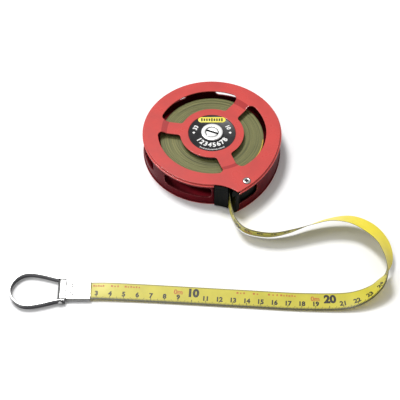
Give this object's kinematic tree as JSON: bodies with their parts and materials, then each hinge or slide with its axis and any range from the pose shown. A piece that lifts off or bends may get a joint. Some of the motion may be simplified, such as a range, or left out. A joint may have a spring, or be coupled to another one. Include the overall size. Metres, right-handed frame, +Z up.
{
  "type": "open reel steel tape measure",
  "caption": "Open-frame long steel tape measure lying flat: lacquered case with side windows, wound steel tape, folding crank, and tape drawn out in a loop to a hinged end loop.",
  "frame": {"origin": "centre of the case box, without the drawn-out tape, on the surface that it lies on", "axes": "+Z up through the hub; +Y away from the mouth, -Y the side that the tape leaves from; +X to the right"},
  "size_m": [0.2828, 0.2083, 0.0239],
  "materials": {
    "red_lacquer": "glossy baked lacquer",
    "black_plastic": "satin",
    "bright_nickel": "bright nickel plate",
    "label_black": "printed semi-gloss",
    "plain_steel": "satin",
    "tape_yellow": "lacquered, printed black",
    "tape_edge_olive": "wound strip edges",
    "bearing_brass": "turned"
  },
  "bodies": {
    "case": {"front_cheek": "red_lacquer", "rear_cheek": "red_lacquer", "rim_wall": "red_lacquer", "mouth_guide_inner": "black_plastic", "mouth_guide_outer": "black_plastic", "mouth_eyelet": "bright_nickel", "label_disc": "label_black", "axle_washer": "bright_nickel", "axle_screw": "bright_nickel", "spindle": "plain_steel", "spindle_washer": "plain_steel", "rear_axle_screw": "bright_nickel", "free_tape": "tape_yellow", "ferrule_bottom_plate": "bright_nickel", "ferrule_top_plate": "bright_nickel", "ferrule_rivet_1": "bright_nickel", "ferrule_rivet_2": "bright_nickel", "hinge_clip": "bright_nickel", "loop_pin": "bright_nickel"},
    "reel": {"reel_drum": "plain_steel", "wound_tape": "tape_edge_olive", "bearing_bush": "bearing_brass", "crank_dish": "bright_nickel", "dish_screw_1": "plain_steel", "dish_screw_2": "plain_steel", "dish_screw_3": "plain_steel", "crank_bracket": "plain_steel", "crank_pin": "plain_steel"},
    "crank": {"crank_arm": "bright_nickel", "knob_stud": "plain_steel"},
    "knob": {"crank_knob": "black_plastic"},
    "loop": {"end_loop": "bright_nickel"}
  },
  "joints": [
    {"name": "reel_spin", "type": "hinge", "parent": "case", "child": "reel", "pos_m": [0, 0.0045, 0], "axis": [0, 0, 1], "continuous": true},
    {"name": "crank_fold", "type": "hinge", "parent": "reel", "child": "crank", "pos_m": [0.015, 0.0045, 0.0014], "axis": [0, -1, 0], "range_deg": [0, 160]},
    {"name": "knob_spin", "type": "hinge", "parent": "crank", "child": "knob", "pos_m": [-0.012, 0.0045, 0], "axis": [0, 0, 1], "continuous": true},
    {"name": "loop_swing", "type": "hinge", "parent": "case", "child": "loop", "pos_m": [-0.1111, -0.1325, 0.0029], "axis": [0, 1, 0], "range_deg": [-165, 165]}
  ]
}
